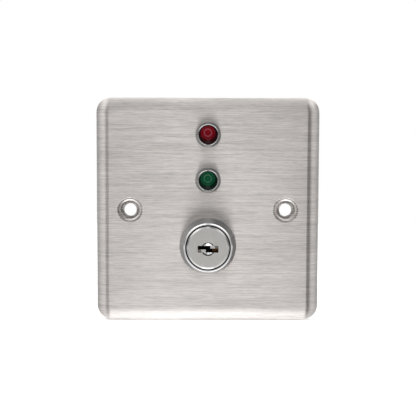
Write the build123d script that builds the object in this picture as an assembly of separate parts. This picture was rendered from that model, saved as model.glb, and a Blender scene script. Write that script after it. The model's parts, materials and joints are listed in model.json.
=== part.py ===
from build123d import *
import math
import os

# Key-operated selector switch on a single-gang pressed steel plate, in millimetres.
# X points right, Z up, and the front faces -Y. The origin lies on the wall plane,
# midway between the two fixing holes, so what stands behind the wall has positive Y.

# ---- driving dimensions ----

PLATE = 87.0            # side of the square face plate
FACE_Y = -5.5           # front of the plate; its rolled rim ends on the wall at y = 0
SHEET = 1.2             # steel thickness
CORNER_R = 5.7
BEND_R = 5.2            # outside radius of the rolled edge
BACK_Y = FACE_Y + SHEET

FIXING_X = 60.3 / 2     # BS 4662 single-gang screw centres
FIXING_HOLE_R = 2.4
DIMPLE_R = 4.9

RED_Z = 29.0
GREEN_Z = 11.5
LOCK_Z = -14.0

BEZEL_FRONT_Y = FACE_Y - 3.0
BEZEL_REAR_Y = 1.5
BEZEL_BASE_R = 4.9
BEZEL_FRONT_R = 4.05
BEZEL_MOUTH_R = 3.65
BEZEL_SHANK_R = 4.0
LENS_R = 3.5
LENS_CROWN = 1.0        # how far the lens's middle stands out from its edge
LENS_EDGE_Y = BEZEL_FRONT_Y + 0.35
LENS_SEAT_Y = BEZEL_FRONT_Y + 2.2
LENS_WALL = 0.7
LED_R = 2.5
LED_TIP_Y = BEZEL_FRONT_Y + 0.9
LED_FLANGE_R = 2.9
LED_SEAT_Y = -0.1
LED_BASE_Y = 0.9
LED_LEAD_X = 1.27

COLLAR_FRONT_Y = -12.0
COLLAR_BASE_R = 10.95
COLLAR_FRONT_R = 9.35
BARREL_R = 9.5
BARREL_FLAT_X = 8.5
BARREL_REAR_Y = 4.5
COUNTERBORE_R = 8.55
COUNTERBORE_Y = -8.7
BORE_R = 6.5

PLUG_FACE_Y = COLLAR_FRONT_Y - 0.5      # the bevelled head stands proud of the collar
PLUG_HEAD_R = 8.15
PLUG_HEAD_REAR_Y = COUNTERBORE_Y - 0.2
PLUG_R = 6.45
CLIP_GROOVE_R = 5.6
CLIP_Y = (4.8, 5.6)
SHOULDER_Y = 5.9        # where the round shank gives way to the square tail
TAIL = 8.0
TAIL_REAR_Y = 8.5

KEYWAY_W = 7.9
KEYWAY_H = 2.6
KEYWAY_ARM_H = 1.5      # height of each arm of the Z; the left arm is up, the right down
KEYWAY_LAP = 0.85       # how far each arm reaches past the middle
KEYWAY_REAR_Y = 2.3
KEYWAY_DROP = 0.45      # the keyway and its pilot lie this far below the plug's axis
PILOT_R = 2.6
PILOT_FLOOR_R = 1.3
PILOT_DEPTH = 0.75

WAFERS = 7
WAFER_PITCH = 1.5
WAFER_FIRST_Y = -7.4
WAFER_T = 0.9
WAFER_R = 6.4
WAFER_W = 5.6
WAFER_TRAVEL = 0.45
KEY_CUTS = (2.2, 0.1, 1.0, 0.1, 1.6, 0.1, 0.7)    # how deep the key is cut for each wafer
GROOVE_REACH = 7.2      # how far the locking grooves reach from the lock's axis

BALL_Y = 3.4
BALL_R = 0.8
BALL_OUT = 6.4          # the ball's outermost point when it is pushed in

STOP_Y = (SHOULDER_Y, 6.6)
STOP_DISC_R = 8.0
STOP_SECTOR_R = 9.3
LUG_HALF_ANGLE = 30.0
LUG_REAR_Y = 6.3
STOP_PLAY = 2.0         # degrees left at each end of the quarter turn

CAM_Y = (STOP_Y[1], 8.7)
CAM_LOW_R = 8.2
CAM_RISE = 1.0

BOARD_Y = (3.0, 4.6)
BOARD_W = 46.0
BOARD_Z = (-30.0, 34.0)
STUD_X = 19.0
STUD_Z = (-26.8, 30.5)
STUD_R = 1.5
STUD_END_Y = 7.6

SWITCH_FACE = 9.9       # distance from the lock's axis to the switch's near face
SWITCH_H = 10.0
SWITCH_HALF_L = 10.0
SWITCH_Y = (BOARD_Y[1], 11.0)
SWITCH_WALL = 0.9
COVER_T = 0.8
PLUNGER_R = 0.8
PLUNGER_TIP = CAM_LOW_R + 0.1
BLADE_U = 13.4          # distance from the lock's axis to the middle of the blade
BLADE_T = 0.2
BLADE_ROLL_R = 0.35      # rolled root that the blade rocks on
PIVOT_V = -6.0
CONTACT_V = 8.0

WAYS = 6
WAY_PITCH = 5.0
BLOCK_Y = (BOARD_Y[1], 14.6)
BLOCK_Z = (17.0, 25.5)
CHAMBER_Y = (5.8, 12.6)
CHAMBER_Z = (19.3, 24.3)
CLAMP_Z = 21.8          # line of the clamp screws

RESISTOR_Z = (1.4, 5.4)
LEG_R = 0.35            # round component legs where they cross the board
LEG_END_Y = 2.1         # legs of parts on the rear end just in front of the board
LED_LEG_END_Y = 5.6     # the LEDs' legs come from the front and end behind it

PLUNGER_Y = (SWITCH_Y[0] + SWITCH_Y[1]) / 2
WAFER_Y = [WAFER_FIRST_Y + WAFER_PITCH * i for i in range(WAFERS)]
WAFER_SIDE = [1 if i % 2 == 0 else -1 for i in range(WAFERS)]
WAY_X = [WAY_PITCH * (i - (WAYS - 1) / 2) for i in range(WAYS)]
LED_Z = {"red": RED_Z, "green": GREEN_Z}
UPRIGHT = (Align.CENTER, Align.CENTER, Align.MIN)


# ---- shared shapes ----

def turned(outline, x=0.0, z=0.0):
    """Solid of revolution about the line through (x, z) along Y, from (radius, y) points."""
    return Pos(x, 0, z) * revolve(Polygon(*outline, align=None), Axis.Y)


def tube(outer, inner, y_range, x=0.0, z=0.0):
    front, rear = y_range
    return turned([(inner, front), (outer, front), (outer, rear), (inner, rear)], x, z)


def rod(radius, y_range, x=0.0, z=0.0):
    return tube(radius, 0, y_range, x, z)


def block(x_range, y_range, z_range):
    spans = (x_range, y_range, z_range)
    middle = [(low + high) / 2 for low, high in spans]
    return Pos(*middle) * Box(*[high - low for low, high in spans])


def slab(sketch, y_range):
    """A sketch drawn in X and Z, made solid between two values of Y."""
    front, rear = y_range
    return extrude(Plane.XZ.offset(-rear) * sketch, rear - front)


def thread_outline(radius, y_range, pitch, inner=0.0):
    """Outline of a threaded shank, with the thread as V grooves one pitch apart."""
    front, rear = y_range
    turns = round((rear - front) / pitch)
    step = (rear - front) / turns
    root = radius - 0.5 * step
    points = [(inner, front), (root, front)]
    for turn in range(turns):
        start = front + turn * step
        points += [(radius, start + 0.44 * step), (radius, start + 0.56 * step)]
        points.append((root, start + step))
    points.append((inner, rear))
    return points


def hex_nut(flats, bore, y_range, x=0.0, z=0.0):
    """Hexagon nut with chamfered corners on both faces."""
    front, rear = y_range
    corner = flats / math.sqrt(3)
    bevel = (corner - flats / 2) * 0.6
    prism = slab(Pos(x, z) * RegularPolygon(corner, 6), y_range)
    envelope = [(0, front), (flats / 2, front), (corner, front + bevel)]
    envelope += [(corner, rear - bevel), (flats / 2, rear), (0, rear)]
    return (prism & turned(envelope, x, z)) - rod(bore, y_range, x, z)


def toothed_washer(outer, inner, teeth, y_range, x=0.0, z=0.0):
    """Ring whose inner edge is cut into teeth."""
    ring = tube(outer, inner, y_range, x, z)
    gap = 2 * math.pi * inner / teeth * 0.45
    root = inner + (outer - inner) * 0.45
    notch = Pos((inner + root) / 2) * Rectangle(root - inner + 0.4, gap)
    notches = [Pos(x, z) * Rot(0, 0, 360 / teeth * i) * notch for i in range(teeth)]
    return ring - [slab(cut, y_range) for cut in notches]


def sector(start, end, radius):
    """Wedge about the origin, in X and Z; angles go from +X towards -Z, as the plug turns."""
    steps = math.ceil((end - start) / 30)
    angles = [math.radians(start + (end - start) * i / steps) for i in range(steps + 1)]
    rim = [(radius * math.cos(a), -radius * math.sin(a)) for a in angles]
    return make_face(Polyline((0, 0), *rim, close=True))


def coil(radius, wire_r, length, turns):
    """Open coil spring along +X from the origin."""
    path = Helix(length / turns, length, radius, direction=(1, 0, 0))
    return sweep(Plane(path @ 0, z_dir=path % 0) * Circle(wire_r), path=path, is_frenet=True)


def legs_through_board(points, y_range):
    return [rod(LEG_R, y_range, x, z) for x, z in points]


def solder(x, z, leg_r, rear_side):
    """Ring of solder that fills a plated hole and rises round the leg on one side."""
    front, rear = BOARD_Y
    hole = leg_r + 0.15
    pad = leg_r + 0.75
    if rear_side:
        outline = [(leg_r, front), (hole, front), (hole, rear), (pad, rear)]
        outline += [(leg_r + 0.25, rear + 0.45), (leg_r, rear + 0.8)]
    else:
        outline = [(leg_r, rear), (hole, rear), (hole, front), (pad, front)]
        outline += [(leg_r + 0.25, front - 0.45), (leg_r, front - 0.8)]
    return turned(outline, x, z)


def about_lock(shape, side):
    """Turns a shape half round the lock's axis for the left-hand switch."""
    if side == "right":
        return shape
    return Pos(0, 0, LOCK_Z) * Rot(0, 180, 0) * Pos(0, 0, -LOCK_Z) * shape


nodes = {}


def add(name, *shapes):
    """Keeps the shapes as one named node, each piece as its own solid."""
    solids = [solid for shape in shapes for solid in shape.solids()]
    nodes[name] = solids[0] if len(solids) == 1 else Compound(children=solids)


# ---- face plate ----

def rolled_pan(side, corner, bend, y_range):
    """Square block with rounded corners and a rolled front edge."""
    pan = slab(RectangleRounded(side, side, corner), y_range)
    return fillet(pan.faces().sort_by(Axis.Y)[0].edges(), bend)


def dimple(x):
    """Pressed countersink round a fixing hole: soft lip, two cones, flat seat and neck."""
    outline = [
        (DIMPLE_R + 0.7, FACE_Y), (DIMPLE_R, FACE_Y), (DIMPLE_R - 0.3, FACE_Y + 0.1),
        (DIMPLE_R - 0.65, FACE_Y + 0.5), (DIMPLE_R - 1.15, FACE_Y + 0.75),
        (DIMPLE_R - 1.35, FACE_Y + 1.05), (DIMPLE_R - 1.8, FACE_Y + 1.5),
        (FIXING_HOLE_R + 0.2, FACE_Y + 1.6), (FIXING_HOLE_R, FACE_Y + 1.85),
        (FIXING_HOLE_R, FACE_Y + 2.75), (DIMPLE_R - 1.45, FACE_Y + 2.6),
        (DIMPLE_R - 0.2, BACK_Y + 0.15), (DIMPLE_R + 0.2, BACK_Y), (DIMPLE_R + 0.7, BACK_Y),
    ]
    return turned(outline, x)


def make_faceplate():
    plate = rolled_pan(PLATE, CORNER_R, BEND_R, (FACE_Y, 0))
    inside = PLATE - 2 * SHEET
    plate -= rolled_pan(inside, CORNER_R - SHEET, BEND_R - SHEET, (BACK_Y, 0))
    for x in (-FIXING_X, FIXING_X):
        plate -= rod(DIMPLE_R + 0.7, (FACE_Y, BACK_Y), x)
        plate += dimple(x)
    for z in LED_Z.values():
        plate -= rod(BEZEL_SHANK_R + 0.05, (FACE_Y, BACK_Y), 0, z)
    lock_hole = Circle(BARREL_R + 0.05) & Rectangle(2 * BARREL_FLAT_X + 0.1, 3 * BARREL_R)
    plate -= slab(Pos(0, LOCK_Z) * lock_hole, (FACE_Y, BACK_Y))
    add("faceplate", plate)


# ---- indicators ----

def make_bezel(colour, z):
    """Chromed conical bezel with a threaded shank; lens and LED sit in its stepped bore."""
    bore = LED_R + 0.1
    pocket = LED_FLANGE_R + 0.1
    thread = thread_outline(BEZEL_SHANK_R, (BACK_Y, BEZEL_REAR_Y), 0.75, pocket)
    outline = [
        (BEZEL_MOUTH_R, BEZEL_FRONT_Y), (BEZEL_FRONT_R - 0.2, BEZEL_FRONT_Y),
        (BEZEL_FRONT_R, BEZEL_FRONT_Y + 0.2), (BEZEL_BASE_R, FACE_Y - 0.35),
        (BEZEL_BASE_R, FACE_Y), (BEZEL_SHANK_R, FACE_Y), (BEZEL_SHANK_R, BACK_Y),
        *thread[1:], (pocket, LED_SEAT_Y), (bore, LED_SEAT_Y),
        (bore, LENS_SEAT_Y), (LENS_R, LENS_SEAT_Y), (LENS_R, LENS_EDGE_Y),
    ]
    add(f"{colour}_led_bezel", turned(outline, 0, z))


def crowned_rod(radius, crown, edge_y, rear_y, z):
    """Rod whose front is a shallow dome."""
    dome_r = (radius ** 2 + crown ** 2) / (2 * crown)
    tip_y = edge_y - crown
    return rod(radius, (tip_y, rear_y), 0, z) & Pos(0, tip_y + dome_r, z) * Sphere(dome_r)


def make_lens(colour, z):
    """Coloured cap with a shallow dome, hollow behind for the LED's tip."""
    lens = crowned_rod(LENS_R, LENS_CROWN, LENS_EDGE_Y, LENS_SEAT_Y, z)
    inner_r = LENS_R - LENS_WALL
    inner_crown = LENS_CROWN * (inner_r / LENS_R) ** 2
    lens -= crowned_rod(inner_r, inner_crown, LENS_EDGE_Y + LENS_WALL, LENS_SEAT_Y, z)
    add(f"{colour}_lens", lens)


def make_led(z):
    """Round 5 mm LED with a domed front and a flange that seats in the bezel."""
    dome_y = LED_TIP_Y + LED_R
    led = rod(LED_R, (dome_y, LED_BASE_Y), 0, z)
    led += Pos(0, dome_y, z) * Sphere(LED_R)
    return led + rod(LED_FLANGE_R, (LED_SEAT_Y, LED_BASE_Y), 0, z)


def make_indicator_fixings():
    washers = []
    nuts = []
    collars = []
    legs = []
    for z in LED_Z.values():
        washers.append(toothed_washer(5.6, BEZEL_SHANK_R, 12, (BACK_Y, BACK_Y + 0.5), 0, z))
        nuts.append(hex_nut(10.0, BEZEL_SHANK_R, (BACK_Y + 0.5, BACK_Y + 2.7), 0, z))
        collar = rod(LED_FLANGE_R + 0.05, (LED_BASE_Y, BEZEL_REAR_Y), 0, z)
        collar += rod(BEZEL_SHANK_R - 0.4, (BEZEL_REAR_Y, BEZEL_REAR_Y + 0.8), 0, z)
        for x in (-LED_LEAD_X, LED_LEAD_X):
            collar -= rod(LEG_R, (LED_BASE_Y, BEZEL_REAR_Y + 0.8), x, z)
            legs.append(rod(LEG_R, (LED_BASE_Y, LED_LEG_END_Y), x, z))
        collars.append(collar)
    add("led_washers", *washers)
    add("led_nuts", *nuts)
    add("led_collars", *collars)
    add("led_leads", *legs)


# ---- lock ----

def lock_turned(outline):
    return turned(outline, 0, LOCK_Z)


def lock_slab(sketch, y_range):
    return slab(Pos(0, LOCK_Z) * sketch, y_range)


def make_lock_housing():
    """Die-cast body: conical collar, double-D threaded barrel, bore and stop lug."""
    thread = thread_outline(BARREL_R, (BACK_Y, BARREL_REAR_Y), 1.0, BORE_R)
    outline = [
        (COUNTERBORE_R, COLLAR_FRONT_Y + 0.15), (COUNTERBORE_R + 0.15, COLLAR_FRONT_Y),
        (COLLAR_FRONT_R - 0.3, COLLAR_FRONT_Y), (COLLAR_FRONT_R, COLLAR_FRONT_Y + 0.3),
        (COLLAR_BASE_R, FACE_Y - 0.6), (COLLAR_BASE_R, FACE_Y), (BARREL_R, FACE_Y),
        (BARREL_R, BACK_Y), *thread[1:], (BORE_R, COUNTERBORE_Y),
        (COUNTERBORE_R, COUNTERBORE_Y),
    ]
    housing = lock_turned(outline)
    for side in (-1, 1):
        past = sorted((side * BARREL_FLAT_X, side * (BARREL_R + 1)))
        housing -= block(past, (FACE_Y, BARREL_REAR_Y), (LOCK_Z - 10, LOCK_Z + 10))
    lug_y = (BARREL_REAR_Y - 0.4, LUG_REAR_Y)
    lug = tube(STOP_SECTOR_R + 0.1, STOP_DISC_R + 0.35, lug_y)
    lug &= slab(sector(90 - LUG_HALF_ANGLE, 90 + LUG_HALF_ANGLE, 2 * BARREL_R), lug_y)
    housing += Pos(0, 0, LOCK_Z) * lug
    groove_y = (WAFER_Y[0] - 0.7, WAFER_Y[-1] + 0.7)
    groove_half = WAFER_W / 2 + 0.2
    across = Rectangle(2 * GROOVE_REACH, 2 * groove_half)
    housing -= lock_slab(across + Rot(0, 0, 90) * across, groove_y)
    notch = Pos(0, 0, BALL_OUT) * Cylinder(BALL_R + 0.05, 0.9, align=UPRIGHT)
    for turn in (0, 90):
        housing -= Pos(0, BALL_Y, LOCK_Z) * Rot(0, turn, 0) * notch
    add("lock_housing", housing)


def wafer_pocket(y, side):
    """Slot through the plug for one wafer, with its spring pocket on one side."""
    half_t = WAFER_T / 2 + 0.05
    span = (y - half_t, y + half_t)
    half_w = WAFER_W / 2 + 0.05
    slot = lock_slab(Rectangle(2 * PLUG_R + 0.2, 2 * half_w), span)
    pocket = block((-2.4, 2.9), span, (half_w, 4.4))
    if side < 0:
        pocket = Rot(0, 180, 0) * pocket
    return slot + Pos(0, 0, LOCK_Z) * pocket


def make_plug():
    """Key plug: flanged head, wafer slots, Z-shaped keyway, detent pocket, square tail."""
    outline = [
        (0, PLUG_FACE_Y), (PLUG_HEAD_R - 0.6, PLUG_FACE_Y), (PLUG_HEAD_R, PLUG_FACE_Y + 0.4),
        (PLUG_HEAD_R, PLUG_HEAD_REAR_Y), (PLUG_R, PLUG_HEAD_REAR_Y), (PLUG_R, CLIP_Y[0]),
        (CLIP_GROOVE_R, CLIP_Y[0]), (CLIP_GROOVE_R, CLIP_Y[1]), (PLUG_R, CLIP_Y[1]),
        (PLUG_R, SHOULDER_Y), (0, SHOULDER_Y),
    ]
    plug = lock_turned(outline)
    plug += lock_slab(Rectangle(TAIL, TAIL) & Circle(CLIP_GROOVE_R - 0.2), (SHOULDER_Y, TAIL_REAR_Y))
    for y, side in zip(WAFER_Y, WAFER_SIDE):
        plug -= wafer_pocket(y, side)
    left_arm = Rectangle(KEYWAY_W / 2 + KEYWAY_LAP, KEYWAY_ARM_H)
    left_arm = Pos((KEYWAY_LAP - KEYWAY_W / 2) / 2, (KEYWAY_H - KEYWAY_ARM_H) / 2) * left_arm
    right_arm = Rot(0, 0, 180) * left_arm
    mouth = Rectangle(KEYWAY_W, KEYWAY_H)
    lowered = Pos(0, -KEYWAY_DROP)
    plug -= lock_slab(lowered * (left_arm + right_arm), (PLUG_FACE_Y, KEYWAY_REAR_Y))
    plug -= lock_slab(lowered * mouth, (PLUG_FACE_Y, PLUG_FACE_Y + 0.8))
    floor_y = PLUG_FACE_Y + PILOT_DEPTH
    pilot = [(0, PLUG_FACE_Y), (PILOT_R, PLUG_FACE_Y), (PILOT_FLOOR_R, floor_y), (0, floor_y)]
    plug -= Pos(0, 0, -KEYWAY_DROP) * lock_turned(pilot)
    plug -= Pos(0, 0, LOCK_Z) * rod(2.0, (4.8, TAIL_REAR_Y))
    ball_hole = Pos(0, BALL_Y, 1.45) * Cylinder(BALL_R + 0.05, 6, align=UPRIGHT)
    plug -= Pos(0, 0, LOCK_Z) * ball_hole
    add("lock_plug", plug)


def make_wafers():
    """Flat brass tumblers, each a windowed disc slice with a lug for its spring."""
    springs = []
    spring = coil(0.32, 0.08, 3.45, 7)
    for i, (y, side, cut) in enumerate(zip(WAFER_Y, WAFER_SIDE, KEY_CUTS)):
        span = (-WAFER_T / 2, WAFER_T / 2)
        outline = Circle(WAFER_R) & Rectangle(2 * WAFER_R, WAFER_W)
        window_x = (-KEYWAY_W / 2 - 0.3, KEYWAY_W / 2 - cut)
        window = Rectangle(window_x[1] - window_x[0], KEYWAY_H + 0.4)
        outline -= Pos(sum(window_x) / 2, -side * KEYWAY_DROP) * window
        wafer = slab(outline, span)
        wafer += block((1.2, 2.2), span, (WAFER_W / 2 - 0.1, 4.1))
        turn = Rot(0, 0 if side > 0 else 180, 0)
        add(f"wafer_{i + 1}", Pos(0, y, LOCK_Z) * turn * wafer)
        springs.append(Pos(0, y, LOCK_Z) * turn * Pos(-2.3, 0, 3.5) * spring)
    add("wafer_springs", *springs)


def make_detent():
    centre = BALL_OUT - BALL_R
    add("detent_ball", Pos(0, BALL_Y, LOCK_Z + centre) * Sphere(BALL_R))
    spring = coil(0.55, 0.11, centre - BALL_R - 1.6, 6)
    add("detent_spring", Pos(0, BALL_Y, LOCK_Z + 1.5) * Rot(0, -90, 0) * spring)


def make_lock_fixings():
    washer_y = (BACK_Y, BACK_Y + 0.6)
    nut_y = (washer_y[1], washer_y[1] + 4.0)
    add("lock_washer", toothed_washer(12.3, BARREL_R, 16, washer_y, 0, LOCK_Z))
    add("lock_nut", hex_nut(24.0, BARREL_R, nut_y, 0, LOCK_Z))
    clip = tube(STOP_DISC_R - 0.1, CLIP_GROOVE_R, (CLIP_Y[0] + 0.05, CLIP_Y[1] - 0.05))
    mouth = block((-4.6, 4.6), CLIP_Y, (0, STOP_DISC_R + 1))
    add("retaining_clip", Pos(0, 0, LOCK_Z) * (clip - mouth))


def square_hole():
    return Rectangle(TAIL + 0.1, TAIL + 0.1)


def make_stop_washer():
    """Washer on the square tail; the ends of its wide sector meet the housing's lug."""
    start = 90 + LUG_HALF_ANGLE + STOP_PLAY
    end = start + 360 - 90 - 2 * (LUG_HALF_ANGLE + STOP_PLAY)
    wide = Circle(STOP_SECTOR_R) & sector(start, end, 2 * BARREL_R)
    add("stop_washer", lock_slab(Circle(STOP_DISC_R) + wide - square_hole(), STOP_Y))


def cam_quarter(start, rising):
    """Quarter of the cam's edge, a spiral that gains or loses the rise evenly."""
    points = []
    for i in range(7):
        part = i / 6
        radius = CAM_LOW_R + CAM_RISE * (part if rising else 1 - part)
        angle = math.radians(start + 90 * part)
        points.append((radius * math.cos(angle), radius * math.sin(angle)))
    return Spline(*points)


def make_cam():
    """Two-lobed plate cam, low towards both switches and high a quarter turn away."""
    edge = [cam_quarter(start, start % 180 == 0) for start in (0, 90, 180, 270)]
    plate = make_face(edge) - square_hole()
    add("switch_cam", lock_slab(plate, CAM_Y))


def cross_recess(y, size):
    """Cross slot in the rear of a screw head that ends at y."""
    arm = block((-size / 2, size / 2), (y - 1.2, y), (-0.4, 0.4))
    return arm + Rot(0, 90, 0) * arm


def make_cam_screw():
    washer_y = (CAM_Y[1], CAM_Y[1] + 0.9)
    head_y = (washer_y[1], washer_y[1] + 2.2)
    split = block((2.0, 4.0), washer_y, (-0.3, 0.3))
    washer = tube(3.6, 2.05, washer_y) - split
    add("cam_spring_washer", Pos(0, 0, LOCK_Z) * washer)
    shank = thread_outline(2.0, (5.0, head_y[0]), 0.7)
    head = [(3.7, head_y[0]), (3.8, head_y[0] + 0.9), (3.2, head_y[1] - 0.5)]
    head += [(2.0, head_y[1] - 0.08), (0, head_y[1])]
    screw = turned([*shank[:-1], *head]) - cross_recess(head_y[1], 3.6)
    add("cam_screw", Pos(0, 0, LOCK_Z) * screw)


# ---- microswitches ----

def switch_block(u_range, y_range, v_range):
    """Box in the right-hand switch: u runs out from the lock's axis, v runs up."""
    return block(u_range, y_range, [LOCK_Z + v for v in v_range])


CASE_U = (SWITCH_FACE, SWITCH_FACE + SWITCH_H)
CAVITY_U = (CASE_U[0] + SWITCH_WALL, CASE_U[1] - SWITCH_WALL)
CAVITY_V = (SWITCH_WALL - SWITCH_HALF_L, SWITCH_HALF_L - SWITCH_WALL)
CAVITY_Y = (SWITCH_Y[0] + SWITCH_WALL, SWITCH_Y[1] - COVER_T)
HOLE_U = CASE_U[1] - 2.3
HOLE_V = 4.75
HOLE_R = 1.1
COM_LEG = (CASE_U[1] + 1.4, -7.9)
NO_LEG = (CASE_U[1] + 1.4, 7.6)
NC_LEG = (12.0, SWITCH_HALF_L + 1.3)
NC_STRIP_U = (11.6, 12.1)
NO_STRIP_U = (17.2, 17.7)
LEG_SLOT_Y = (PLUNGER_Y - 0.6, PLUNGER_Y + 0.6)


def plunger_bore():
    along = Cylinder(PLUNGER_R + 0.1, 2 * SWITCH_WALL + 0.4, rotation=(0, 90, 0))
    return Pos(SWITCH_FACE, PLUNGER_Y, LOCK_Z) * along


def make_switch_case(side):
    case = switch_block(CASE_U, (SWITCH_Y[0], CAVITY_Y[1]), (-SWITCH_HALF_L, SWITCH_HALF_L))
    case -= switch_block(CAVITY_U, CAVITY_Y, CAVITY_V)
    for v in (-HOLE_V, HOLE_V):
        case += rod(HOLE_R + 0.7, (SWITCH_Y[0], CAVITY_Y[1]), HOLE_U, LOCK_Z + v)
        case -= rod(HOLE_R, (SWITCH_Y[0], CAVITY_Y[1]), HOLE_U, LOCK_Z + v)
    case -= plunger_bore()
    for u, v in (COM_LEG, NO_LEG):
        case -= switch_block((CAVITY_U[1], CASE_U[1]), LEG_SLOT_Y, (v - 0.4, v + 0.4))
    case -= switch_block((NC_LEG[0] - 0.4, NC_LEG[0] + 0.4), LEG_SLOT_Y, (CAVITY_V[1], SWITCH_HALF_L))
    cover = switch_block(CASE_U, (CAVITY_Y[1], SWITCH_Y[1]), (-SWITCH_HALF_L, SWITCH_HALF_L))
    for v in (-HOLE_V, HOLE_V):
        cover -= rod(HOLE_R, (CAVITY_Y[1], SWITCH_Y[1]), HOLE_U, LOCK_Z + v)
    add(f"{side}_switch_case", about_lock(case, side))
    add(f"{side}_switch_cover", about_lock(cover, side))


def make_plunger(side):
    """Button with a round tip on the cam, a flange inside and a nose for the blade."""
    outline = [(0, 0), (PLUNGER_R * 0.6, 0.12), (PLUNGER_R * 0.9, 0.4), (PLUNGER_R, 0.8)]
    flange = CAVITY_U[0] - PLUNGER_TIP + 0.1
    nose = BLADE_U - BLADE_T / 2 - 0.25 - PLUNGER_TIP
    outline += [(PLUNGER_R, flange), (1.5, flange), (1.5, flange + 0.8)]
    outline += [(0.5, flange + 0.8), (0.5, nose), (0, nose)]
    plunger = Pos(PLUNGER_TIP, PLUNGER_Y, LOCK_Z) * Rot(0, 0, -90) * turned(outline)
    add(f"{side}_plunger", about_lock(plunger, side))


def make_snap_blade(side):
    """Spring blade with a round contact at its tip; it rocks about its root."""
    strip_y = (PLUNGER_Y - 1.1, PLUNGER_Y + 1.1)
    u_range = (BLADE_U - BLADE_T / 2, BLADE_U + BLADE_T / 2)
    blade = switch_block(u_range, strip_y, (PIVOT_V - 0.9, CONTACT_V + 0.6))
    blade += rod(BLADE_ROLL_R, strip_y, BLADE_U, LOCK_Z + PIVOT_V)
    contact = Pos(BLADE_U, PLUNGER_Y, LOCK_Z + CONTACT_V) * Cylinder(0.75, 1.0, rotation=(0, 90, 0))
    add(f"{side}_snap_blade", about_lock(blade + contact, side))


def fixed_contact(u, strip_u):
    """Round fixed contact on its strip."""
    button = Pos(u, PLUNGER_Y, LOCK_Z + CONTACT_V) * Cylinder(0.75, 0.5, rotation=(0, 90, 0))
    strip_v = (CONTACT_V - 0.95, CONTACT_V + 0.95)
    strip = switch_block(strip_u, (PLUNGER_Y - 1.0, PLUNGER_Y + 1.0), strip_v)
    return button + strip


def bent_leg(tail, x, v):
    """A flat tail joined to a round leg that goes down through the board."""
    leg = rod(LEG_R, (LEG_END_Y, PLUNGER_Y + 0.3), x, LOCK_Z + v)
    return tail + leg


def make_contacts(side):
    """Common post beside the blade's root, and the two fixed contacts round its tip."""
    flat_y = (PLUNGER_Y - 0.3, PLUNGER_Y + 0.3)
    post = switch_block((BLADE_U - 0.6, BLADE_U + 0.6), (PLUNGER_Y - 1.1, PLUNGER_Y + 1.1), (-8.3, -7.4))
    com_tail = switch_block((BLADE_U, COM_LEG[0]), flat_y, (COM_LEG[1] - 0.3, COM_LEG[1] + 0.3))
    com = bent_leg(post + com_tail, *COM_LEG)
    nc = fixed_contact(12.35, NC_STRIP_U)
    nc += switch_block((NC_STRIP_U[0], NC_LEG[0] + 0.3), flat_y, (CONTACT_V, NC_LEG[1]))
    nc = bent_leg(nc, *NC_LEG)
    no = fixed_contact(16.95, NO_STRIP_U)
    no += switch_block((NO_STRIP_U[0], NO_LEG[0]), flat_y, (NO_LEG[1] - 0.3, NO_LEG[1] + 0.3))
    no = bent_leg(no, *NO_LEG)
    add(f"{side}_switch_contacts", *[about_lock(part, side) for part in (com, nc, no)])


def switch_legs():
    """Where the switches' legs cross the board, as X and Z."""
    spots = []
    for u, v in (COM_LEG, NO_LEG, NC_LEG):
        spots += [(u, LOCK_Z + v), (-u, LOCK_Z - v)]
    return spots


# ---- terminal block ----

BLOCK_HALF_W = WAYS * WAY_PITCH / 2 + 0.3
SCREW_HEAD_Y = (12.75, 14.3)
CLAMP_SCREW_R = 1.2
BUSBAR_Y = (9.0, 9.7)
BUSBAR_LEG_Z = BLOCK_Z[0] + 1.1
CAGE_Y = (6.1, 10.7)


def make_terminal_housing():
    """Moulded block with a clamp chamber, a wire entry and a screw hole for each way."""
    housing = block((-BLOCK_HALF_W, BLOCK_HALF_W), BLOCK_Y, BLOCK_Z)
    for x in WAY_X:
        housing -= block((x - 1.9, x + 1.9), CHAMBER_Y, CHAMBER_Z)
        housing -= block((x - 1.5, x + 1.5), (6.4, 9.4), (CHAMBER_Z[1], BLOCK_Z[1]))
        housing -= block((x - 1.15, x + 1.15), BUSBAR_Y, (BLOCK_Z[0] + 0.5, CHAMBER_Z[0]))
        housing -= rod(0.55, (BLOCK_Y[0], BUSBAR_Y[0]), x, BUSBAR_LEG_Z)
        housing -= rod(2.0, (CHAMBER_Y[1], BLOCK_Y[1]), x, CLAMP_Z)
    bevel = housing.edges().filter_by(Axis.X).group_by(Axis.Y)[-1]
    add("terminal_housing", chamfer(bevel, 0.6))


def make_terminal_clamps():
    """Captive clamp screws and the cages that rise on them towards the busbars."""
    for i, x in enumerate(WAY_X):
        shank = [(0, 9.9), (CLAMP_SCREW_R - 0.2, 9.9), (CLAMP_SCREW_R, 10.1)]
        shank.append((CLAMP_SCREW_R, SCREW_HEAD_Y[0]))
        head = [(1.85, SCREW_HEAD_Y[0]), (1.85, SCREW_HEAD_Y[1] - 0.3)]
        head += [(1.55, SCREW_HEAD_Y[1]), (0, SCREW_HEAD_Y[1])]
        screw = turned([*shank, *head], x, CLAMP_Z)
        slot_y = (SCREW_HEAD_Y[1] - 0.9, SCREW_HEAD_Y[1])
        screw -= block((x - 2, x + 2), slot_y, (CLAMP_Z - 0.3, CLAMP_Z + 0.3))
        add(f"terminal_screw_{i + 1}", screw)
        window_y = (CAGE_Y[0] + 0.8, CAGE_Y[1] - 0.9)
        cage = block((x - 1.7, x + 1.7), CAGE_Y, (CLAMP_Z - 1.9, CLAMP_Z + 1.9))
        cage -= block((x - 1.25, x + 1.25), window_y, (CLAMP_Z - 2, CLAMP_Z + 2))
        cage -= rod(CLAMP_SCREW_R + 0.04, (window_y[1], CAGE_Y[1]), x, CLAMP_Z)
        add(f"terminal_cage_{i + 1}", cage)


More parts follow.
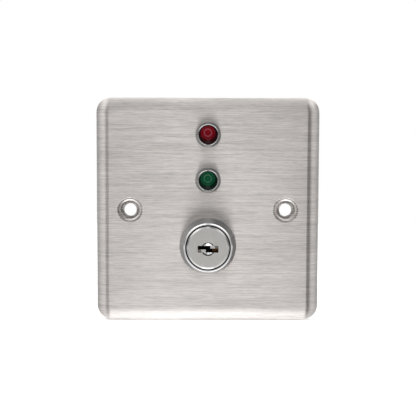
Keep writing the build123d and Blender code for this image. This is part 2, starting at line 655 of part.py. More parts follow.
def make_busbars():
    bars = []
    for x in WAY_X:
        bar = block((x - 1.1, x + 1.1), BUSBAR_Y, (BLOCK_Z[0] + 0.6, CHAMBER_Z[1] - 0.2))
        bars.append(bar + rod(0.5, (LEG_END_Y, BUSBAR_Y[1]), x, BUSBAR_LEG_Z))
    add("terminal_busbars", *bars)


# ---- circuit board ----

STUDS = [(x, z) for x in (-STUD_X, STUD_X) for z in STUD_Z]
LED_LEGS = [(x, z) for x in (-LED_LEAD_X, LED_LEAD_X) for z in LED_Z.values()]
RESISTOR_LEG_X = 5.2
RESISTOR_LEGS = [(x, z) for x in (-RESISTOR_LEG_X, RESISTOR_LEG_X) for z in RESISTOR_Z]
BUSBAR_LEGS = [(x, BUSBAR_LEG_Z) for x in WAY_X]


def make_board():
    """Board with round corners, a clearance hole for the lock and plated leg holes."""
    height = BOARD_Z[1] - BOARD_Z[0]
    outline = Pos(0, sum(BOARD_Z) / 2) * RectangleRounded(BOARD_W, height, 2.0)
    outline -= Pos(0, LOCK_Z) * Circle(BARREL_R + 0.7)
    outline -= [Pos(x, z) * Circle(STUD_R + 0.1) for x, z in STUDS]
    small = [*LED_LEGS, *RESISTOR_LEGS, *switch_legs()]
    outline -= [Pos(x, z) * Circle(LEG_R + 0.15) for x, z in small]
    outline -= [Pos(x, z) * Circle(0.65) for x, z in BUSBAR_LEGS]
    add("circuit_board", slab(outline, BOARD_Y))


def make_board_fixings():
    """Studs welded to the plate, with a spacer before the board and a nut behind it."""
    studs = []
    spacers = []
    nuts = []
    for x, z in STUDS:
        weld = [(0, BACK_Y), (2.3, BACK_Y), (2.3, BACK_Y + 0.5), (STUD_R, BACK_Y + 0.7)]
        thread = thread_outline(STUD_R, (BOARD_Y[1], STUD_END_Y), 0.5)
        studs.append(turned([*weld, (STUD_R, BOARD_Y[1]), *thread[1:]], x, z))
        spacers.append(tube(2.75, STUD_R + 0.1, (BACK_Y + 0.7, BOARD_Y[0]), x, z))
        nuts.append(hex_nut(5.5, STUD_R, (BOARD_Y[1], BOARD_Y[1] + 2.4), x, z))
    add("board_studs", *studs)
    add("board_spacers", *spacers)
    add("board_nuts", *nuts)


def make_resistors():
    """Axial resistors lying flat behind the board, with bent legs."""
    bodies = []
    legs = []
    axis_y = BOARD_Y[1] + 1.35
    outline = [(0, -3.2), (0.9, -3.2), (1.15, -2.9), (1.15, -2.1), (0.95, -1.8), (0.95, 1.8)]
    outline += [(1.15, 2.1), (1.15, 2.9), (0.9, 3.2), (0, 3.2)]
    for z in RESISTOR_Z:
        bodies.append(Pos(0, axis_y, z) * Rot(0, 0, 90) * turned(outline))
        for side in (-1, 1):
            end = side * RESISTOR_LEG_X
            corners = ((side * 3.2, axis_y, z), (end, axis_y, z), (end, LEG_END_Y, z))
            route = FilletPolyline(*corners, radius=0.9)
            legs.append(sweep(Plane(route @ 0, z_dir=route % 0) * Circle(LEG_R), path=route))
    add("resistor_bodies", *bodies)
    add("resistor_leads", *legs)


def make_solder():
    joints = [solder(x, z, LEG_R, True) for x, z in LED_LEGS]
    joints += [solder(x, z, LEG_R, False) for x, z in [*RESISTOR_LEGS, *switch_legs()]]
    joints += [solder(x, z, 0.5, False) for x, z in BUSBAR_LEGS]
    add("solder_joints", *joints)


# ---- the whole switch ----

make_faceplate()
for colour, height in LED_Z.items():
    make_bezel(colour, height)
    make_lens(colour, height)
add("leds", *[make_led(height) for height in LED_Z.values()])
make_indicator_fixings()
make_lock_housing()
make_plug()
make_wafers()
make_detent()
make_lock_fixings()
make_stop_washer()
make_cam()
make_cam_screw()
for side in ("left", "right"):
    make_switch_case(side)
    make_plunger(side)
    make_snap_blade(side)
    make_contacts(side)
make_terminal_housing()
make_terminal_clamps()
make_busbars()
make_board()
make_board_fixings()
make_resistors()
make_solder()

os.makedirs("parts", exist_ok=True)
for name, shape in nodes.items():
    export_step(shape, f"parts/{name}.step")
print(len(nodes), "nodes")
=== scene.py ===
import json
import math

import bmesh
import bpy
from mathutils import Matrix, Vector


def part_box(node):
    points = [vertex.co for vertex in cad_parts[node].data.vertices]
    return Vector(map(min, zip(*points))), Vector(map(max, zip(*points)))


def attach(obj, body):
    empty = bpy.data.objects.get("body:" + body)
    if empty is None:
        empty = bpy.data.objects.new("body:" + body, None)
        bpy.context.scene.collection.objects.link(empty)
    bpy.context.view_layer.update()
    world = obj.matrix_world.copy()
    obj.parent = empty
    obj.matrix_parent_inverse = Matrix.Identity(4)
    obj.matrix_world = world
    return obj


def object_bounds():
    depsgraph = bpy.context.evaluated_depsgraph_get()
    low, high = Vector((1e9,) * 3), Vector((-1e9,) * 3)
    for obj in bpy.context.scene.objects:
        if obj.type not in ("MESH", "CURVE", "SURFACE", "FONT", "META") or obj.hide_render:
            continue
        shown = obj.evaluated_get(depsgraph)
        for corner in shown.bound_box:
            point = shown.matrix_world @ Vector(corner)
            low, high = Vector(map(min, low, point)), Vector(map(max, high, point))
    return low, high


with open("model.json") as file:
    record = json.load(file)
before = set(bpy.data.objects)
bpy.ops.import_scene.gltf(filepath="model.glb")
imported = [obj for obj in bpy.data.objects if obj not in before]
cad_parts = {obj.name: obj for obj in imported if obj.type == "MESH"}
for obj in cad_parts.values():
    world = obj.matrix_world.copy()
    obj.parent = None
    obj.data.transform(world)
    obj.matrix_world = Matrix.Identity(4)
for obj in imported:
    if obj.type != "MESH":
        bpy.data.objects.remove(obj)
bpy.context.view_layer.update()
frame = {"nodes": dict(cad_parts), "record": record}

# Blender works in metres, in the CAD frame: X right, Z up, the front faces -Y, the wall is at
# y = 0. Lengths below are in millimetres, which MM turns into metres, unless they say metres.
MM = 0.001

LOCK = sum(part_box("lock_housing"), Vector()) / 2
RED_Z, GREEN_Z = [sum(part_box(lens), Vector()).z / 2 for lens in ("red_lens", "green_lens")]
BOARD_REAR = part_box("circuit_board")[1].y

FIXING_X = 30.15        # each fixing hole, from the middle
DIMPLE_REACH = 4.9      # radius of the pressed dimple round it
COLLAR_MOUTH_R = 8.55
BEZEL_MOUTH_R = 3.65
PLUG_RIM_R = 6.0        # the plug's outer bevel lies beyond this radius
PILOT_R = 2.6           # round recess in the keyway
KEYWAY_REACH = 4.4      # half the keyway's width, with some room
KEYWAY_DROP = 0.45      # of the keyway's middle below the lock's axis

# Sockets of a Mix node for each kind of value: its two inputs and its output.
MIX_SOCKETS = {"RGBA": (6, 7, 2), "VECTOR": (4, 5, 1)}


# ---- node helpers ----

class Nodes:
    """A node tree with short calls that each add one node and give back its output."""

    def __init__(self, tree):
        self.nodes = tree.nodes
        self.links = tree.links

    def feed(self, target, value):
        """Sets a socket, or links an output to it."""
        if isinstance(value, bpy.types.NodeSocket):
            self.links.new(value, target)
        else:
            target.default_value = value

    def math(self, operation, *values, clamp=False):
        node = self.nodes.new("ShaderNodeMath")
        node.operation = operation
        node.use_clamp = clamp
        for socket, value in zip(node.inputs, values):
            self.feed(socket, value)
        return node.outputs[0]

    def vector(self, operation, *values):
        node = self.nodes.new("ShaderNodeVectorMath")
        node.operation = operation
        for socket, value in zip(node.inputs, values):
            self.feed(socket, value)
        return node.outputs[0]

    def axes(self, vector):
        split = self.nodes.new("ShaderNodeSeparateXYZ")
        self.feed(split.inputs[0], vector)
        return split.outputs

    def distance(self, across, up):
        """Length of the vector with these two parts."""
        squares = [self.math("MULTIPLY", part, part) for part in (across, up)]
        return self.math("SQRT", self.math("ADD", *squares))

    def mix(self, factor, first, second, kind="RGBA", blend="MIX"):
        node = self.nodes.new("ShaderNodeMix")
        node.data_type = kind
        node.blend_type = blend
        self.feed(node.inputs[0], factor)
        into_first, into_second, result = MIX_SOCKETS[kind]
        for index, value in ((into_first, first), (into_second, second)):
            is_bare_color = kind == "RGBA" and isinstance(value, tuple) and len(value) == 3
            self.feed(node.inputs[index], (*value, 1.0) if is_bare_color else value)
        return node.outputs[result]

    def ramp(self, source, stops):
        """Grey levels at the given positions from 0 to 1, blended between them."""
        node = self.nodes.new("ShaderNodeValToRGB")
        elements = node.color_ramp.elements
        while len(elements) < len(stops):
            elements.new(0.5)
        for element, (position, level) in zip(elements, stops):
            element.position = position
            element.color = (level, level, level, 1)
        self.links.new(source, node.inputs[0])
        return node.outputs[0]


class Shader(Nodes):
    """A Principled material with short calls for adding procedural detail."""

    def __init__(self, name, color, **settings):
        self.material = bpy.data.materials.new(name)
        self.material.use_nodes = True
        super().__init__(self.material.node_tree)
        self.principled = self.nodes["Principled BSDF"]
        self.color = (*color, 1.0)
        self.put("Base Color", self.color)
        for socket, value in settings.items():
            self.put(socket.replace("_", " "), value)

    def put(self, socket, value):
        """Sets a socket of the Principled shader, or links an output to it."""
        self.feed(self.principled.inputs[socket], value)

    def place(self, scale=(1, 1, 1), at=(0, 0, 0)):
        """Object coordinates in metres, scaled and then moved by at."""
        coords = self.nodes.new("ShaderNodeTexCoord")
        mapping = self.nodes.new("ShaderNodeMapping")
        mapping.inputs["Location"].default_value = at
        mapping.inputs["Scale"].default_value = scale
        self.links.new(coords.outputs["Object"], mapping.inputs["Vector"])
        return mapping.outputs["Vector"]

    def millimetres_from(self, *point):
        """Object coordinates in millimetres, counted from a point in millimetres."""
        return self.axes(self.place((1000, 1000, 1000), at=[-part for part in point]))

    def noise(self, scale, detail, roughness, at=(0, 0, 0)):
        """Noise whose grain is 1/scale metres, with its own scale along each axis."""
        scales = scale if isinstance(scale, tuple) else (scale, scale, scale)
        node = self.nodes.new("ShaderNodeTexNoise")
        node.inputs["Scale"].default_value = 1.0
        node.inputs["Detail"].default_value = detail
        node.inputs["Roughness"].default_value = roughness
        self.links.new(self.place(scales, at), node.inputs["Vector"])
        return node.outputs["Fac"]

    def span(self, value, low, high, from_low=0.0, from_high=1.0):
        """Maps a value between two ends onto low to high."""
        node = self.nodes.new("ShaderNodeMapRange")
        for socket, number in zip(node.inputs, (value, from_low, from_high, low, high)):
            self.feed(socket, number)
        return node.outputs[0]

    def shade(self, factor, low, high):
        """Base colour times a level that runs from low to high."""
        level = self.span(factor, low, high)
        grey = self.nodes.new("ShaderNodeCombineColor")
        for socket in grey.inputs:
            self.feed(socket, level)
        self.put("Base Color", self.mix(1.0, self.color, grey.outputs[0], blend="MULTIPLY"))

    def bump(self, height, distance, strength):
        node = self.nodes.new("ShaderNodeBump")
        node.inputs["Distance"].default_value = distance
        self.feed(node.inputs["Strength"], strength)
        self.feed(node.inputs["Height"], height)
        self.put("Normal", node.outputs[0])

    def upright(self):
        """The way up along the surface, across a grain that runs from side to side."""
        normal = self.nodes.new("ShaderNodeNewGeometry").outputs["Normal"]
        return self.vector("CROSS_PRODUCT", normal, (1, 0, 0))


# ---- metals ----

def dimple_frame(shader):
    """Whether a point is in a pressed dimple, and the way round that dimple's hole."""
    x, _, z = shader.axes(shader.place())
    hole_x = shader.math("MULTIPLY", shader.math("SIGN", x), FIXING_X * MM)
    from_hole = shader.math("SUBTRACT", x, hole_x)
    around = shader.nodes.new("ShaderNodeCombineXYZ")
    for socket, part in zip(around.inputs, (shader.math("MULTIPLY", z, -1.0), 0.0, from_hole)):
        shader.feed(socket, part)
    in_dimple = shader.math("LESS_THAN", shader.distance(from_hole, z), DIMPLE_REACH * MM)
    return in_dimple, shader.vector("NORMALIZE", around.outputs[0])


def brushed_plate():
    """Stainless sheet brushed from side to side: fine level lines, reflections smeared upright.
    In the pressed dimples the smear runs round the hole and the sheet is smoother."""
    shader = Shader("brushed_plate", (0.77, 0.73, 0.705), Metallic=1.0, Anisotropic=1.0)
    in_dimple, round_hole = dimple_frame(shader)
    shader.put("Tangent", shader.mix(in_dimple, shader.upright(), round_hole, kind="VECTOR"))
    lines = shader.noise((36, 36, 2400), 3, 0.65)
    fine_lines = shader.noise((260, 260, 3600), 3, 0.65, at=(3, 1, 7))
    patches = shader.noise((30, 30, 180), 3, 0.55, at=(5, 2, 1))
    grain = shader.math("ADD", shader.math("MULTIPLY", lines, 0.5),
                        shader.math("MULTIPLY", fine_lines, 0.5))
    tone = shader.math("ADD", shader.math("MULTIPLY", grain, 0.8),
                       shader.math("MULTIPLY", patches, 0.2))
    shader.shade(shader.span(tone, 0.0, 1.0, 0.38, 0.62), 0.72, 1.17)
    brushed = shader.span(grain, 0.35, 0.43, 0.35, 0.65)
    pressed = shader.math("SUBTRACT", 1.0, shader.math("MULTIPLY", in_dimple, 0.3))
    shader.put("Roughness", shader.math("MULTIPLY", pressed, brushed))
    shader.bump(grain, 0.02 * MM, shader.span(in_dimple, 0.5, 0.08))
    return shader.material


def chromed(name, node, centre_z, mouth_r, front, cone):
    """Chromed turning: bright front edge, duller cone, painted shade inside its bore."""
    shader = Shader(name, front, Metallic=1.0)
    face = 1000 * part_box(node)[0].y
    x_mm, y_mm, z_mm = shader.millimetres_from(0, 0, 1000 * centre_z)
    on_cone = shader.span(y_mm, 0.0, 1.0, face + 0.12, face + 0.4)
    # Mask of the bore's inside, where shade is painted near black.
    painted_shading_mask = shader.math("MULTIPLY",
                         shader.math("LESS_THAN", shader.distance(x_mm, z_mm), mouth_r + 0.1),
                         shader.math("GREATER_THAN", y_mm, face + 0.2))
    turned = shader.noise((600, 2600, 600), 3, 0.6)
    darker = tuple(0.9 * level for level in cone)
    lighter = tuple(1.1 * level for level in cone)
    color = shader.mix(on_cone, front, shader.mix(turned, darker, lighter))
    # Painted shade: the bore's inside coloured near black.
    shader.put("Base Color", shader.mix(painted_shading_mask, color, (0.03, 0.03, 0.03)))
    shader.put("Roughness", shader.span(on_cone, 0.1, 0.24))
    shader.bump(turned, 0.004 * MM, 0.3)
    return shader.material


def plug_color(shader, tone, polished, radius, y_mm, face):
    """Satin face and polished bevels, with painted shade on the plug's side, at the pilot's edge,
    in the keyway and deep inside.
    """
    at_rim = shader.math("GREATER_THAN", radius, PLUG_RIM_R)
    beside_pilot = shader.math("MULTIPLY",
                               shader.span(radius, 0.0, 1.0, PILOT_R + 0.05, PILOT_R + 0.1),
                               shader.math("LESS_THAN", radius, KEYWAY_REACH))
    satin = shader.mix(tone, (0.72, 0.70, 0.68), (0.88, 0.86, 0.83))
    bevel = shader.mix(at_rim, (0.86, 0.855, 0.85), (0.55, 0.545, 0.54))
    # Painted shade, near black, on the plug's side behind its bevel.
    painted_shade_on_side = shader.math("MULTIPLY", at_rim, shader.math("GREATER_THAN", y_mm, face + 0.42))
    # Painted shade on the pilot's wall just inside its edge.
    painted_shade_at_pilot_edge = shader.math("MULTIPLY", shader.math("LESS_THAN", radius, PILOT_R + 0.02),
                             shader.math("LESS_THAN", y_mm, face + 0.3))
    # Painted shade, dark brown, in the keyway back from the face.
    painted_shade_in_keyway = shader.math("MULTIPLY", beside_pilot,
                          shader.span(y_mm, 0.0, 1.0, face + 0.1, face + 0.4))
    # Painted shade, near black, from 1.35 mm behind the face.
    painted_deep_shade = shader.span(y_mm, 0.0, 1.0, face + 1.35, face + 2.0)
    color = shader.mix(polished, satin, bevel)
    # Each mask lays its painted shade colour over the face.
    for where, painted_shade_color in ((painted_shade_on_side, (0.03, 0.03, 0.03)), (painted_shade_at_pilot_edge, (0.10, 0.098, 0.095)),
                            (painted_shade_in_keyway, (0.30, 0.26, 0.23)), (painted_deep_shade, (0.05, 0.047, 0.045))):
        color = shader.mix(where, color, painted_shade_color)
    return color


def satin_plug():
    """Nickel: satin face with an upright grain, polished bevels, painted shade on its sides and in
    its hollows.
    """
    shader = Shader("satin_plug", (0.56, 0.54, 0.525), Metallic=1.0, Anisotropic=0.5)
    shader.put("Tangent", shader.upright())
    grain = shader.noise((4200, 300, 900), 4, 0.6)
    cloud = shader.noise(350, 3, 0.55, at=(1, 4, 2))
    tone = shader.math("ADD", shader.math("MULTIPLY", grain, 0.5),
                       shader.math("MULTIPLY", cloud, 0.5))
    face = 1000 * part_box("lock_plug")[0].y
    x_mm, y_mm, z_mm = shader.millimetres_from(0, 0, 1000 * LOCK.z - KEYWAY_DROP)
    polished = shader.span(y_mm, 0.0, 1.0, face + 0.01, face + 0.06)
    color = plug_color(shader, tone, polished, shader.distance(x_mm, z_mm), y_mm, face)
    shader.put("Base Color", color)
    shader.put("Roughness", shader.math("SUBTRACT", shader.span(grain, 0.36, 0.5, 0.3, 0.7),
                                        shader.math("MULTIPLY", polished, 0.25)))
    shader.bump(grain, 0.004 * MM, 0.4)
    return shader.material


def plain_metal(name, color, rough):
    """Small hardware: slight mottling, with roughness that follows it."""
    shader = Shader(name, color, Metallic=1.0)
    mottle = shader.noise(1200, 4, 0.6)
    shader.shade(mottle, 0.9, 1.05)
    shader.put("Roughness", shader.span(mottle, rough * 0.75, rough * 1.35, 0.3, 0.7))
    shader.bump(shader.noise(3600, 3, 0.6), 0.004 * MM, 0.3)
    return shader.material


# ---- plastics and the board ----

def lens_plastic(name, z, painted_deep_shade, painted_lit_color, haze):
    """Tinted cap: painted light makes its moulded rings bright over the lamp, in a patch set a
    little high, and painted shade darkens it towards its edge.
    """
    ring_pitch, ring_start, bead_count, ring_lift = 1.1, 1.1, 14.0, 0.8
    shader = Shader(name, painted_lit_color, Roughness=0.22, IOR=1.45, Specular_IOR_Level=0.1)
    # The rings and the painted lit patch are centred ring_lift mm above the cap's middle.
    x_mm, _, z_mm = shader.millimetres_from(-0.15, 0, 1000 * z + ring_lift)
    radius = shader.distance(x_mm, z_mm)
    from_start = shader.math("SUBTRACT", radius, ring_start)
    rings = shader.math("SINE", shader.math("MULTIPLY", from_start, 2 * math.pi / ring_pitch))
    bearing = shader.math("ARCTAN2", z_mm, x_mm)
    beads = shader.math("SINE", shader.math("MULTIPLY", bearing, bead_count))
    # Painted light in the middle, fading to painted shade towards the edge.
    painted_shading_mask = shader.span(radius, 1.0, 0.0, 2.1, 3.1)
    flicker = shader.span(shader.noise(1500, 3, 0.6), -0.2, 0.2, 0.3, 0.7)
    painted_ring_glow = shader.math("ADD", shader.span(rings, 0.3, 1.0, -1, 1), flicker)
    painted_ring_glow = shader.math("ADD", painted_ring_glow, shader.span(beads, -0.08, 0.08, -1, 1))
    painted_light = shader.math("MULTIPLY", painted_shading_mask, painted_ring_glow, clamp=True)
    from_band = shader.math("ABSOLUTE", shader.math("SUBTRACT", radius, 1.35))
    milky = shader.math("MULTIPLY", shader.span(from_band, 0.85, 0.0, 0.1, 0.75),
                        shader.span(rings, 0.15, 1.0, -1, 1))
    # Mixes the painted shade colour and the painted lit colour by the painted light level, then the
    # haze.
    shader.put("Base Color", shader.mix(milky, shader.mix(painted_light, painted_deep_shade, painted_lit_color), haze))
    shader.bump(rings, 0.03 * MM, 0.5)
    return shader.material


def moulded(name, color, rough):
    """Moulded plastic with a fine spark-eroded texture."""
    shader = Shader(name, color)
    grain = shader.noise(1800, 3, 0.6)
    shader.shade(shader.noise(250, 3, 0.5), 0.88, 1.12)
    shader.put("Roughness", shader.span(grain, rough * 0.85, rough * 1.2, 0.3, 0.7))
    shader.bump(grain, 0.006 * MM, 0.5)
    return shader.material


def board_laminate(name, color):
    """Green solder mask over glass cloth, or over the copper of a track."""
    shader = Shader(name, color, Roughness=0.3, Coat_Weight=0.4, Coat_Roughness=0.15)
    weave_pitch = 0.45 * MM
    x, _, z = shader.axes(shader.place())
    waves = [shader.math("SINE", shader.math("MULTIPLY", way, 2 * math.pi / weave_pitch))
             for way in (x, z)]
    weave = shader.math("MULTIPLY", *waves)
    cloth = shader.span(weave, 0.35, 0.65, -1, 1)
    shader.shade(shader.math("ADD", cloth, shader.noise(300, 3, 0.5)), 0.7, 1.1)
    shader.bump(weave, 0.004 * MM, 0.4)
    return shader.material


def resistor_lacquer():
    """Tan lacquer with the coloured bands of a fixed resistor."""
    brown, black, gold = (0.30, 0.12, 0.03), (0.02, 0.02, 0.02), (0.65, 0.45, 0.10)
    half_band = 0.28
    shader = Shader("resistor_lacquer", (0.72, 0.58, 0.38), Roughness=0.3, Coat_Weight=0.5)
    x = shader.axes(shader.place())[0]
    color = shader.mix(shader.noise(700, 3, 0.5), (0.66, 0.52, 0.33), (0.76, 0.63, 0.43))
    for middle, paint in ((-2.5, brown), (-1.1, black), (-0.1, brown), (2.4, gold)):
        from_middle = shader.math("ABSOLUTE", shader.math("SUBTRACT", x, middle * MM))
        on_band = shader.math("LESS_THAN", from_middle, half_band * MM)
        color = shader.mix(on_band, color, paint)
    shader.put("Base Color", color)
    return shader.material


BEZEL_CHROME = {"mouth_r": BEZEL_MOUTH_R, "front": (0.46, 0.47, 0.47),
                "cone": (0.45, 0.455, 0.455)}
MATERIALS = {
    "plate_steel": brushed_plate(),
    "chrome": plain_metal("chrome", (0.8, 0.8, 0.81), 0.12),
    "collar": chromed("collar", "lock_housing", LOCK.z, COLLAR_MOUTH_R,
                      front=(0.86, 0.86, 0.865), cone=(0.60, 0.605, 0.61)),
    "red_bezel": chromed("red_bezel", "red_led_bezel", RED_Z, **BEZEL_CHROME),
    "green_bezel": chromed("green_bezel", "green_led_bezel", GREEN_Z, **BEZEL_CHROME),
    "plug_nickel": satin_plug(),
    "wafer_brass": plain_metal("wafer_brass", (0.30, 0.16, 0.06), 0.34),
    "spring_steel": plain_metal("spring_steel", (0.52, 0.52, 0.53), 0.25),
    "ball_steel": plain_metal("ball_steel", (0.78, 0.78, 0.8), 0.08),
    "zinc_steel": plain_metal("zinc_steel", (0.70, 0.71, 0.74), 0.28),
    # Each lens: its painted shade colour, its painted lit colour, then its haze.
    "lens_red": lens_plastic("lens_red", RED_Z, painted_deep_shade=(0.012, 0.0003, 0.0008),
                             painted_lit_color=(0.125, 0.001, 0.005), haze=(0.13, 0.026, 0.033)),
    "lens_green": lens_plastic("lens_green", GREEN_Z, painted_deep_shade=(0.0003, 0.006, 0.003),
                               painted_lit_color=(0.002, 0.050, 0.020), haze=(0.020, 0.066, 0.040)),
    "led_epoxy": moulded("led_epoxy", (0.75, 0.75, 0.72), 0.3),
    "black_plastic": moulded("black_plastic", (0.022, 0.022, 0.024), 0.5),
    "cover_plastic": moulded("cover_plastic", (0.03, 0.03, 0.032), 0.42),
    "plunger_plastic": moulded("plunger_plastic", (0.55, 0.05, 0.035), 0.35),
    "terminal_green": moulded("terminal_green", (0.03, 0.28, 0.13), 0.45),
    "board_green": board_laminate("board_green", (0.010, 0.135, 0.062)),
    "board_track": board_laminate("board_track", (0.030, 0.25, 0.115)),
    "board_ink": moulded("board_ink", (0.78, 0.79, 0.77), 0.6),
    "resistor_tan": resistor_lacquer(),
    "contact_copper": plain_metal("contact_copper", (0.72, 0.42, 0.25), 0.3),
    "tinned": plain_metal("tinned", (0.74, 0.74, 0.72), 0.3),
    "solder": plain_metal("solder", (0.72, 0.73, 0.75), 0.22),
}
OWN_MATERIAL = {"lock_housing": "collar", "red_led_bezel": "red_bezel",
                "green_led_bezel": "green_bezel"}
for row in frame["record"]["subparts"]:
    mesh = frame["nodes"][row["node"]].data
    mesh.materials.clear()
    mesh.materials.append(MATERIALS[OWN_MATERIAL.get(row["node"], row["material_slot"])])


# ---- what is printed and etched on the board's rear ----

TRACK = {"width": 1.1, "height": 0.05}
PRINT = {"width": 0.22, "height": 0.08}
STRIP_ROOT = 0.01           # how far strips reach into the board
TERMINAL_X = (12.5, 7.5, 2.5)
TERMINAL_Z = 17.4
LED_LEAD_X = 1.27
RESISTOR_Z = (1.4, 5.4)
RESISTOR_END_X = 5.2
RESISTOR_OUTLINE = (3.7, 1.5)
OUTLINE_GAP = 0.4           # between a part and the white line round it


def ribbon(mesh, points, width, height, closed):
    """A flat strip on the board's rear along points (X, Z in mm), mitred at its corners."""
    base = BOARD_REAR - STRIP_ROOT * MM
    top = BOARD_REAR + height * MM
    count = len(points)
    spots = [Vector(point) * MM for point in points]
    rows = []
    for i, spot in enumerate(spots):
        before = spots[i - 1] if i or closed else None
        after = spots[(i + 1) % count] if i < count - 1 or closed else None
        ways = [(b - a).normalized() for a, b in ((before, spot), (spot, after)) if a and b]
        way = sum(ways, Vector((0, 0))).normalized()
        side = Vector((-way.y, way.x)) * width / 2 * MM / way.dot(ways[0])
        corners = ((spot + side, base), (spot - side, base), (spot - side, top), (spot + side, top))
        rows.append([mesh.verts.new((at.x, y, at.y)) for at, y in corners])
    for i in range(count if closed else count - 1):
        here, there = rows[i], rows[(i + 1) % count]
        for k in range(4):
            mesh.faces.new((here[k], here[k - 3], there[k - 3], there[k]))
    if not closed:
        mesh.faces.new(rows[0][::-1])
        mesh.faces.new(rows[-1])


def board_piece(name, strips, material, slot, closed, width, height):
    """One new piece on the board, made of strips, that moves with the frame."""
    mesh = bmesh.new()
    for points in strips:
        ribbon(mesh, points, width, height, closed)
    bmesh.ops.recalc_face_normals(mesh, faces=mesh.faces)
    data = bpy.data.meshes.new(name)
    mesh.to_mesh(data)
    mesh.free()
    data.materials.append(material)
    piece = bpy.data.objects.new(name, data)
    bpy.context.scene.collection.objects.link(piece)
    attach(piece, "frame")


def box_outline(low_x, low_z, high_x, high_z):
    return [(low_x, low_z), (high_x, low_z), (high_x, high_z), (low_x, high_z)]


def both_sides(points):
    return [points, [(-x, z) for x, z in points]]


def make_board_tracks():
    """Etched tracks under the solder mask: terminals to resistors, LEDs and switches."""
    low, high = (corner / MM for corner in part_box("left_switch_contacts"))
    outer, inner, middle = (-x for x in TERMINAL_X)
    contact_z = high.z - 1
    low_resistor_z, high_resistor_z = RESISTOR_Z
    green_z, red_z = GREEN_Z / MM, RED_Z / MM
    strips = both_sides([(outer, TERMINAL_Z), (outer, 10), (-21, 1.5), (-21, contact_z),
                         (low.x + 0.4, contact_z)])
    strips += both_sides([(inner, TERMINAL_Z), (inner, 8), (-RESISTOR_END_X, high_resistor_z)])
    strips += both_sides([(middle, TERMINAL_Z), (middle, 13.5), (-LED_LEAD_X, green_z)])
    strips += [[(-RESISTOR_END_X, low_resistor_z), (-LED_LEAD_X, 5.3), (-LED_LEAD_X, green_z)],
               [(RESISTOR_END_X, low_resistor_z), (1.9, 4.7), (LED_LEAD_X, green_z)]]
    strips += both_sides([(-LED_LEAD_X, red_z), (-LED_LEAD_X, red_z - 3)])
    board_piece("board_tracks", strips, MATERIALS["board_track"], "board_green", False, **TRACK)


def make_board_print():
    """White component outlines, with no lettering."""
    half_x, half_z = RESISTOR_OUTLINE
    outlines = [box_outline(-half_x, z - half_z, half_x, z + half_z) for z in RESISTOR_Z]
    for node in ("left_switch_case", "right_switch_case", "terminal_housing"):
        low, high = (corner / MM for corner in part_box(node))
        outlines.append(box_outline(low.x - OUTLINE_GAP, low.z - OUTLINE_GAP,
                                    high.x + OUTLINE_GAP, high.z + OUTLINE_GAP))
    board_piece("board_print", outlines, MATERIALS["board_ink"], "led_epoxy", True, **PRINT)


make_board_tracks()
make_board_print()


# ---- floor, light and camera ----

# How bright the surround is in reflections, as turns round the object from behind (0 and 1) by
# the left (0.25) and the front (0.5).
BEARING_LEVELS = [(0.0, 0.6), (0.2, 0.8), (0.27, 0.85), (0.37, 0.85), (0.41, 0.28), (0.475, 0.28),
                  (0.486, 0.53), (0.525, 0.53), (0.535, 0.16), (0.61, 0.16), (0.64, 0.6),
                  (0.7, 0.8), (0.8, 0.8), (1.0, 0.6)]
# The same from straight down (0) by the horizon (0.5) to straight up (1).
HEIGHT_LEVELS = [(0.0, 0.8), (0.1, 0.7), (0.3, 0.34), (0.4, 0.26), (0.43, 0.48), (0.48, 0.44),
                 (0.515, 0.12), (0.62, 0.12), (0.74, 0.5), (0.88, 1.0), (0.96, 0.85), (1.0, 0.85)]
WORLD_GAIN = 2.5

# Each lamp's place and size in metres and its power in watts.
LAMPS = {"key": ((-0.6, -0.9, 0.9), (0.7, 0.7), 14), "fill": ((0.9, -0.6, 0.4), (0.7, 0.7), 7),
         "back": ((0.3, 1.0, 0.8), (0.7, 0.7), 4)}
TABLE_GLOW = ((0.0, -0.65, -1.05), (0.8, 1.1), 4.8)

CAMERA_PLACE = (-3.9, -335.5, 23.3)
FOCAL_LENGTH, SENSOR_WIDTH = 73.9, 36
YAW, LOOK_DOWN, ROLL = -0.68, 3.9, 0.19     # degrees
CLIP_METRES = (0.01, 100)

FLOOR_RADIUS_METRES = 0.45
FLOOR_GAP = 0.02            # below the plate's lower edge


def make_floor():
    """Pale floor just under the plate's lower edge, left out of reflections and shadows."""
    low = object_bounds()[0]
    bpy.ops.mesh.primitive_circle_add(vertices=96, radius=FLOOR_RADIUS_METRES, fill_type="NGON",
                                      location=(0, 0, low.z - FLOOR_GAP * MM))
    floor = bpy.context.object
    floor.name = "floor"
    floor.visible_glossy = False
    floor.visible_shadow = False
    shader = Shader("floor_paint", (0.9, 0.9, 0.9), Roughness=0.9)
    shader.shade(shader.noise(4, 3, 0.5), 0.995, 1.005)
    floor.data.materials.append(shader.material)


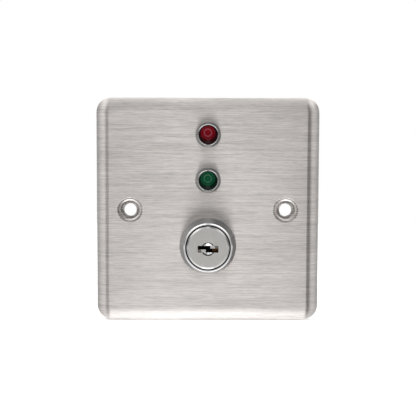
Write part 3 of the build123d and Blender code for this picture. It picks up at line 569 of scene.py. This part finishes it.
def make_world():
    """White to the camera. The surround that lights the object and is mirrored in it has
    darker bands on each side of the camera."""
    world = bpy.data.worlds.new("studio")
    world.use_nodes = True
    bpy.context.scene.world = world
    tree = Nodes(world.node_tree)
    background = tree.nodes["Background"]
    x, y, z = tree.axes(tree.nodes.new("ShaderNodeTexCoord").outputs["Generated"])
    bearing = tree.math("ARCTAN2", x, tree.math("MULTIPLY", y, -1.0))
    turns = tree.math("MULTIPLY_ADD", bearing, 1 / (2 * math.pi), 0.5)
    height = tree.math("MULTIPLY_ADD", z, 0.5, 0.5)
    surround = tree.mix(1.0, tree.ramp(turns, BEARING_LEVELS), tree.ramp(height, HEIGHT_LEVELS),
                        blend="MULTIPLY")
    to_camera = tree.nodes.new("ShaderNodeLightPath").outputs["Is Camera Ray"]
    strength = tree.math("MULTIPLY_ADD", to_camera, 1 - WORLD_GAIN, WORLD_GAIN)
    tree.feed(background.inputs["Color"], tree.mix(to_camera, surround, (1, 1, 1)))
    tree.feed(background.inputs["Strength"], strength)


def make_lamp(name, place, size, watts, only_mirrored=False):
    """An oval lamp aimed at the lock. It lights matt surfaces, or shows only in reflections."""
    data = bpy.data.lights.new(name, "AREA")
    data.shape = "ELLIPSE"
    data.size, data.size_y = size
    data.energy = watts
    lamp = bpy.data.objects.new(name, data)
    lamp.location = place
    lamp.rotation_euler = (LOCK - Vector(place)).to_track_quat("-Z", "Y").to_euler()
    lamp.visible_glossy = only_mirrored
    lamp.visible_diffuse = not only_mirrored
    lamp.visible_camera = False
    bpy.context.scene.collection.objects.link(lamp)


def make_camera():
    """Stands a little above the middle and looks slightly down, as a product shot does."""
    data = bpy.data.cameras.new("camera")
    data.sensor_width = SENSOR_WIDTH
    data.lens = FOCAL_LENGTH
    data.clip_start, data.clip_end = CLIP_METRES
    camera = bpy.data.objects.new("camera", data)
    camera.location = [part * MM for part in CAMERA_PLACE]
    yaw = Matrix.Rotation(math.radians(YAW), 4, "Z")
    pitch = Matrix.Rotation(math.radians(90 - LOOK_DOWN), 4, "X")
    roll = Matrix.Rotation(math.radians(ROLL), 4, "Z")
    camera.rotation_euler = (yaw @ pitch @ roll).to_euler()
    bpy.context.scene.collection.objects.link(camera)
    bpy.context.scene.camera = camera


make_floor()
make_world()
for name, settings in LAMPS.items():
    make_lamp(name, *settings)
make_lamp("table_glow", *TABLE_GLOW, only_mirrored=True)
make_camera()
bpy.context.scene.view_settings.view_transform = "Standard"
